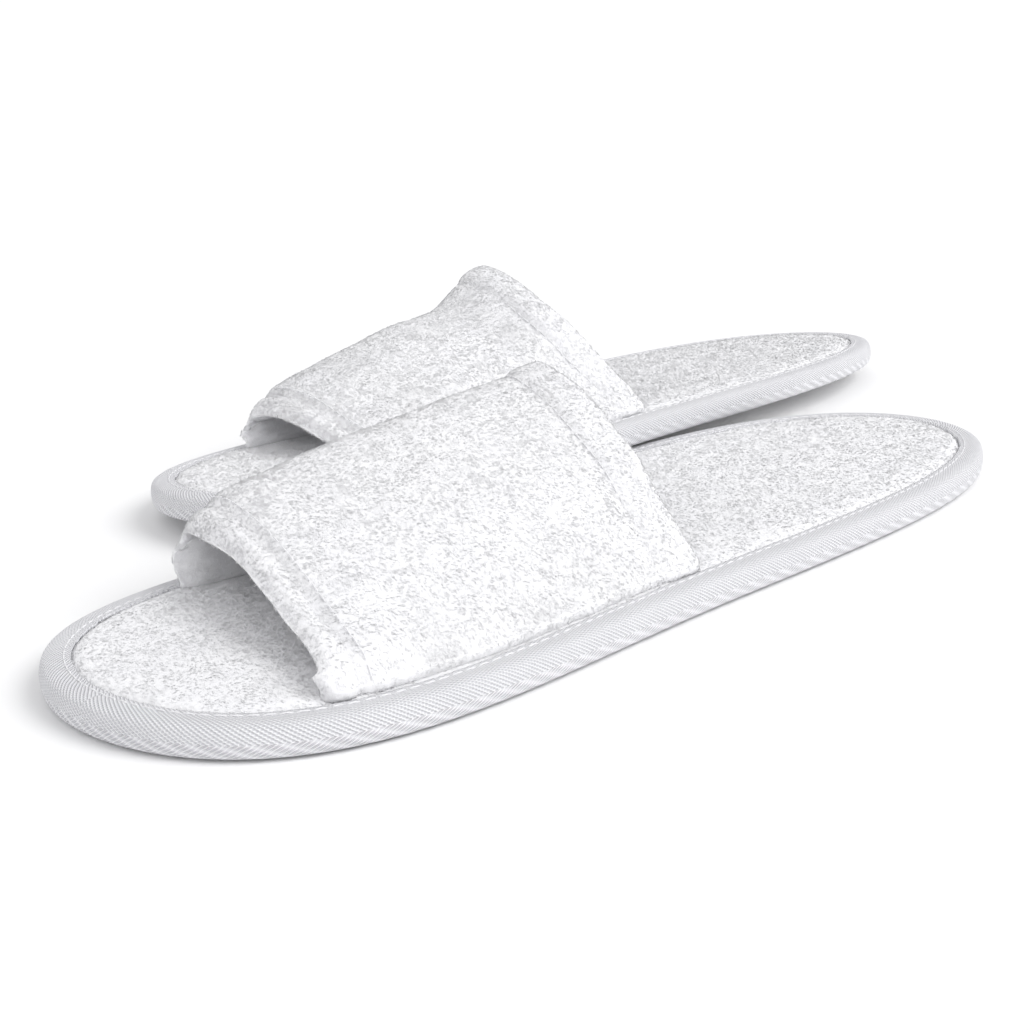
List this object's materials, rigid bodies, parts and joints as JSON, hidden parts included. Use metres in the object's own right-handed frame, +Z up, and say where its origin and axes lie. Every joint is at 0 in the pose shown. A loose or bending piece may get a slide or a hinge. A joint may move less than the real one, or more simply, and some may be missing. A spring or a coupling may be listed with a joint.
{
  "type": "open-toe spa slippers",
  "caption": "White open-toe terry slippers with a broad strap over each foot and herringbone tape round the sole, one slipper leaning on the other.",
  "frame": {"origin": "on the floor under the middle of the left slipper's sole", "axes": "+Z up, +Y from toes to heels, +X towards the left slipper's outer side"},
  "size_m": [0.1872, 0.3699, 0.0429],
  "materials": {
    "terry": "white cotton terry pile, matt and fuzzy",
    "tape": "white herringbone twill tape, slight sheen",
    "lining": "white brushed lining cloth, matt",
    "foam": "white open-cell foam, matt",
    "board": "pressed fibre board, matt",
    "outsole": "white closed-cell foam with a fine moulded grip, satin",
    "thread": "white spun sewing thread"
  },
  "bodies": {
    "left_slipper": {"left_outsole": "outsole", "left_stiffener_board": "board", "left_foam_pad": "foam", "left_insole_cover": "terry", "left_binding_tape": "tape", "left_binding_needle_thread": "thread", "left_binding_bobbin_thread": "thread", "left_upper_terry": "terry", "left_upper_interlining": "foam", "left_upper_lining": "lining", "left_front_hem_thread": "thread", "left_rear_hem_thread": "thread"},
    "right_slipper": {"right_outsole": "outsole", "right_stiffener_board": "board", "right_foam_pad": "foam", "right_insole_cover": "terry", "right_binding_tape": "tape", "right_binding_needle_thread": "thread", "right_binding_bobbin_thread": "thread", "right_upper_terry": "terry", "right_upper_interlining": "foam", "right_upper_lining": "lining", "right_front_hem_thread": "thread", "right_rear_hem_thread": "thread"}
  },
  "joints": [
    {"name": "lift_right_slipper", "type": "slide", "parent": "left_slipper", "child": "right_slipper", "axis": [-0.7071, 0, 0.7071], "range_m": [0, 0.15]}
  ]
}
